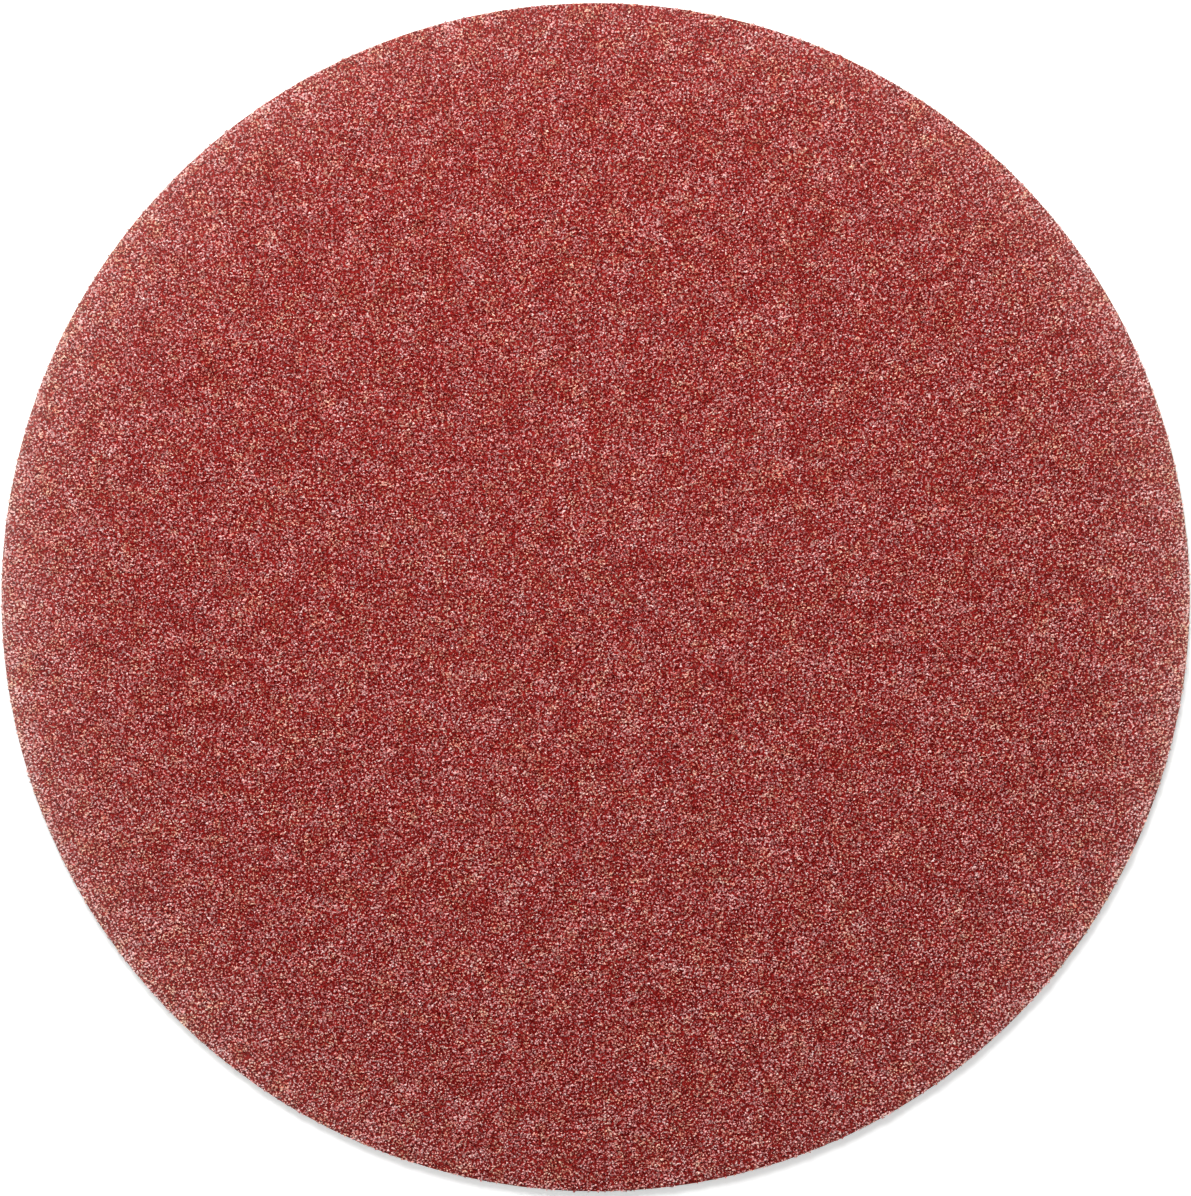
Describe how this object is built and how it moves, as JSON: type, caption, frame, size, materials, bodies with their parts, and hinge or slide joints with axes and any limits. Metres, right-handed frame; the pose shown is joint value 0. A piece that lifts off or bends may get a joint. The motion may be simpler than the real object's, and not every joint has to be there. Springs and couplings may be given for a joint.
{
  "type": "sanding pad",
  "caption": "Plain round sanding pad: a flat disc of coarse red grit bonded to paper, with a looped fleece back that grips the hooks of a sander's plate.",
  "frame": {"origin": "on the disc's axis, in the plane that the loops rest on", "axes": "+Z along the disc's axis, out of the grit face; X and Y in the plane of the disc, with no preferred direction"},
  "size_m": [0.125, 0.125, 0.0016],
  "materials": {
    "grit": "coarse red aluminium oxide grains in cured red resin, open and sharp, with pale glints on broken faces",
    "paper": "stiff latex-treated paper, pale buff, with a sheared fibrous edge",
    "fleece": "off-white knitted fleece with a dense pile of fine nylon loops"
  },
  "bodies": {
    "root": {"grit_coat": "grit", "paper_backing": "paper", "loop_fleece": "fleece"}
  },
  "joints": []
}
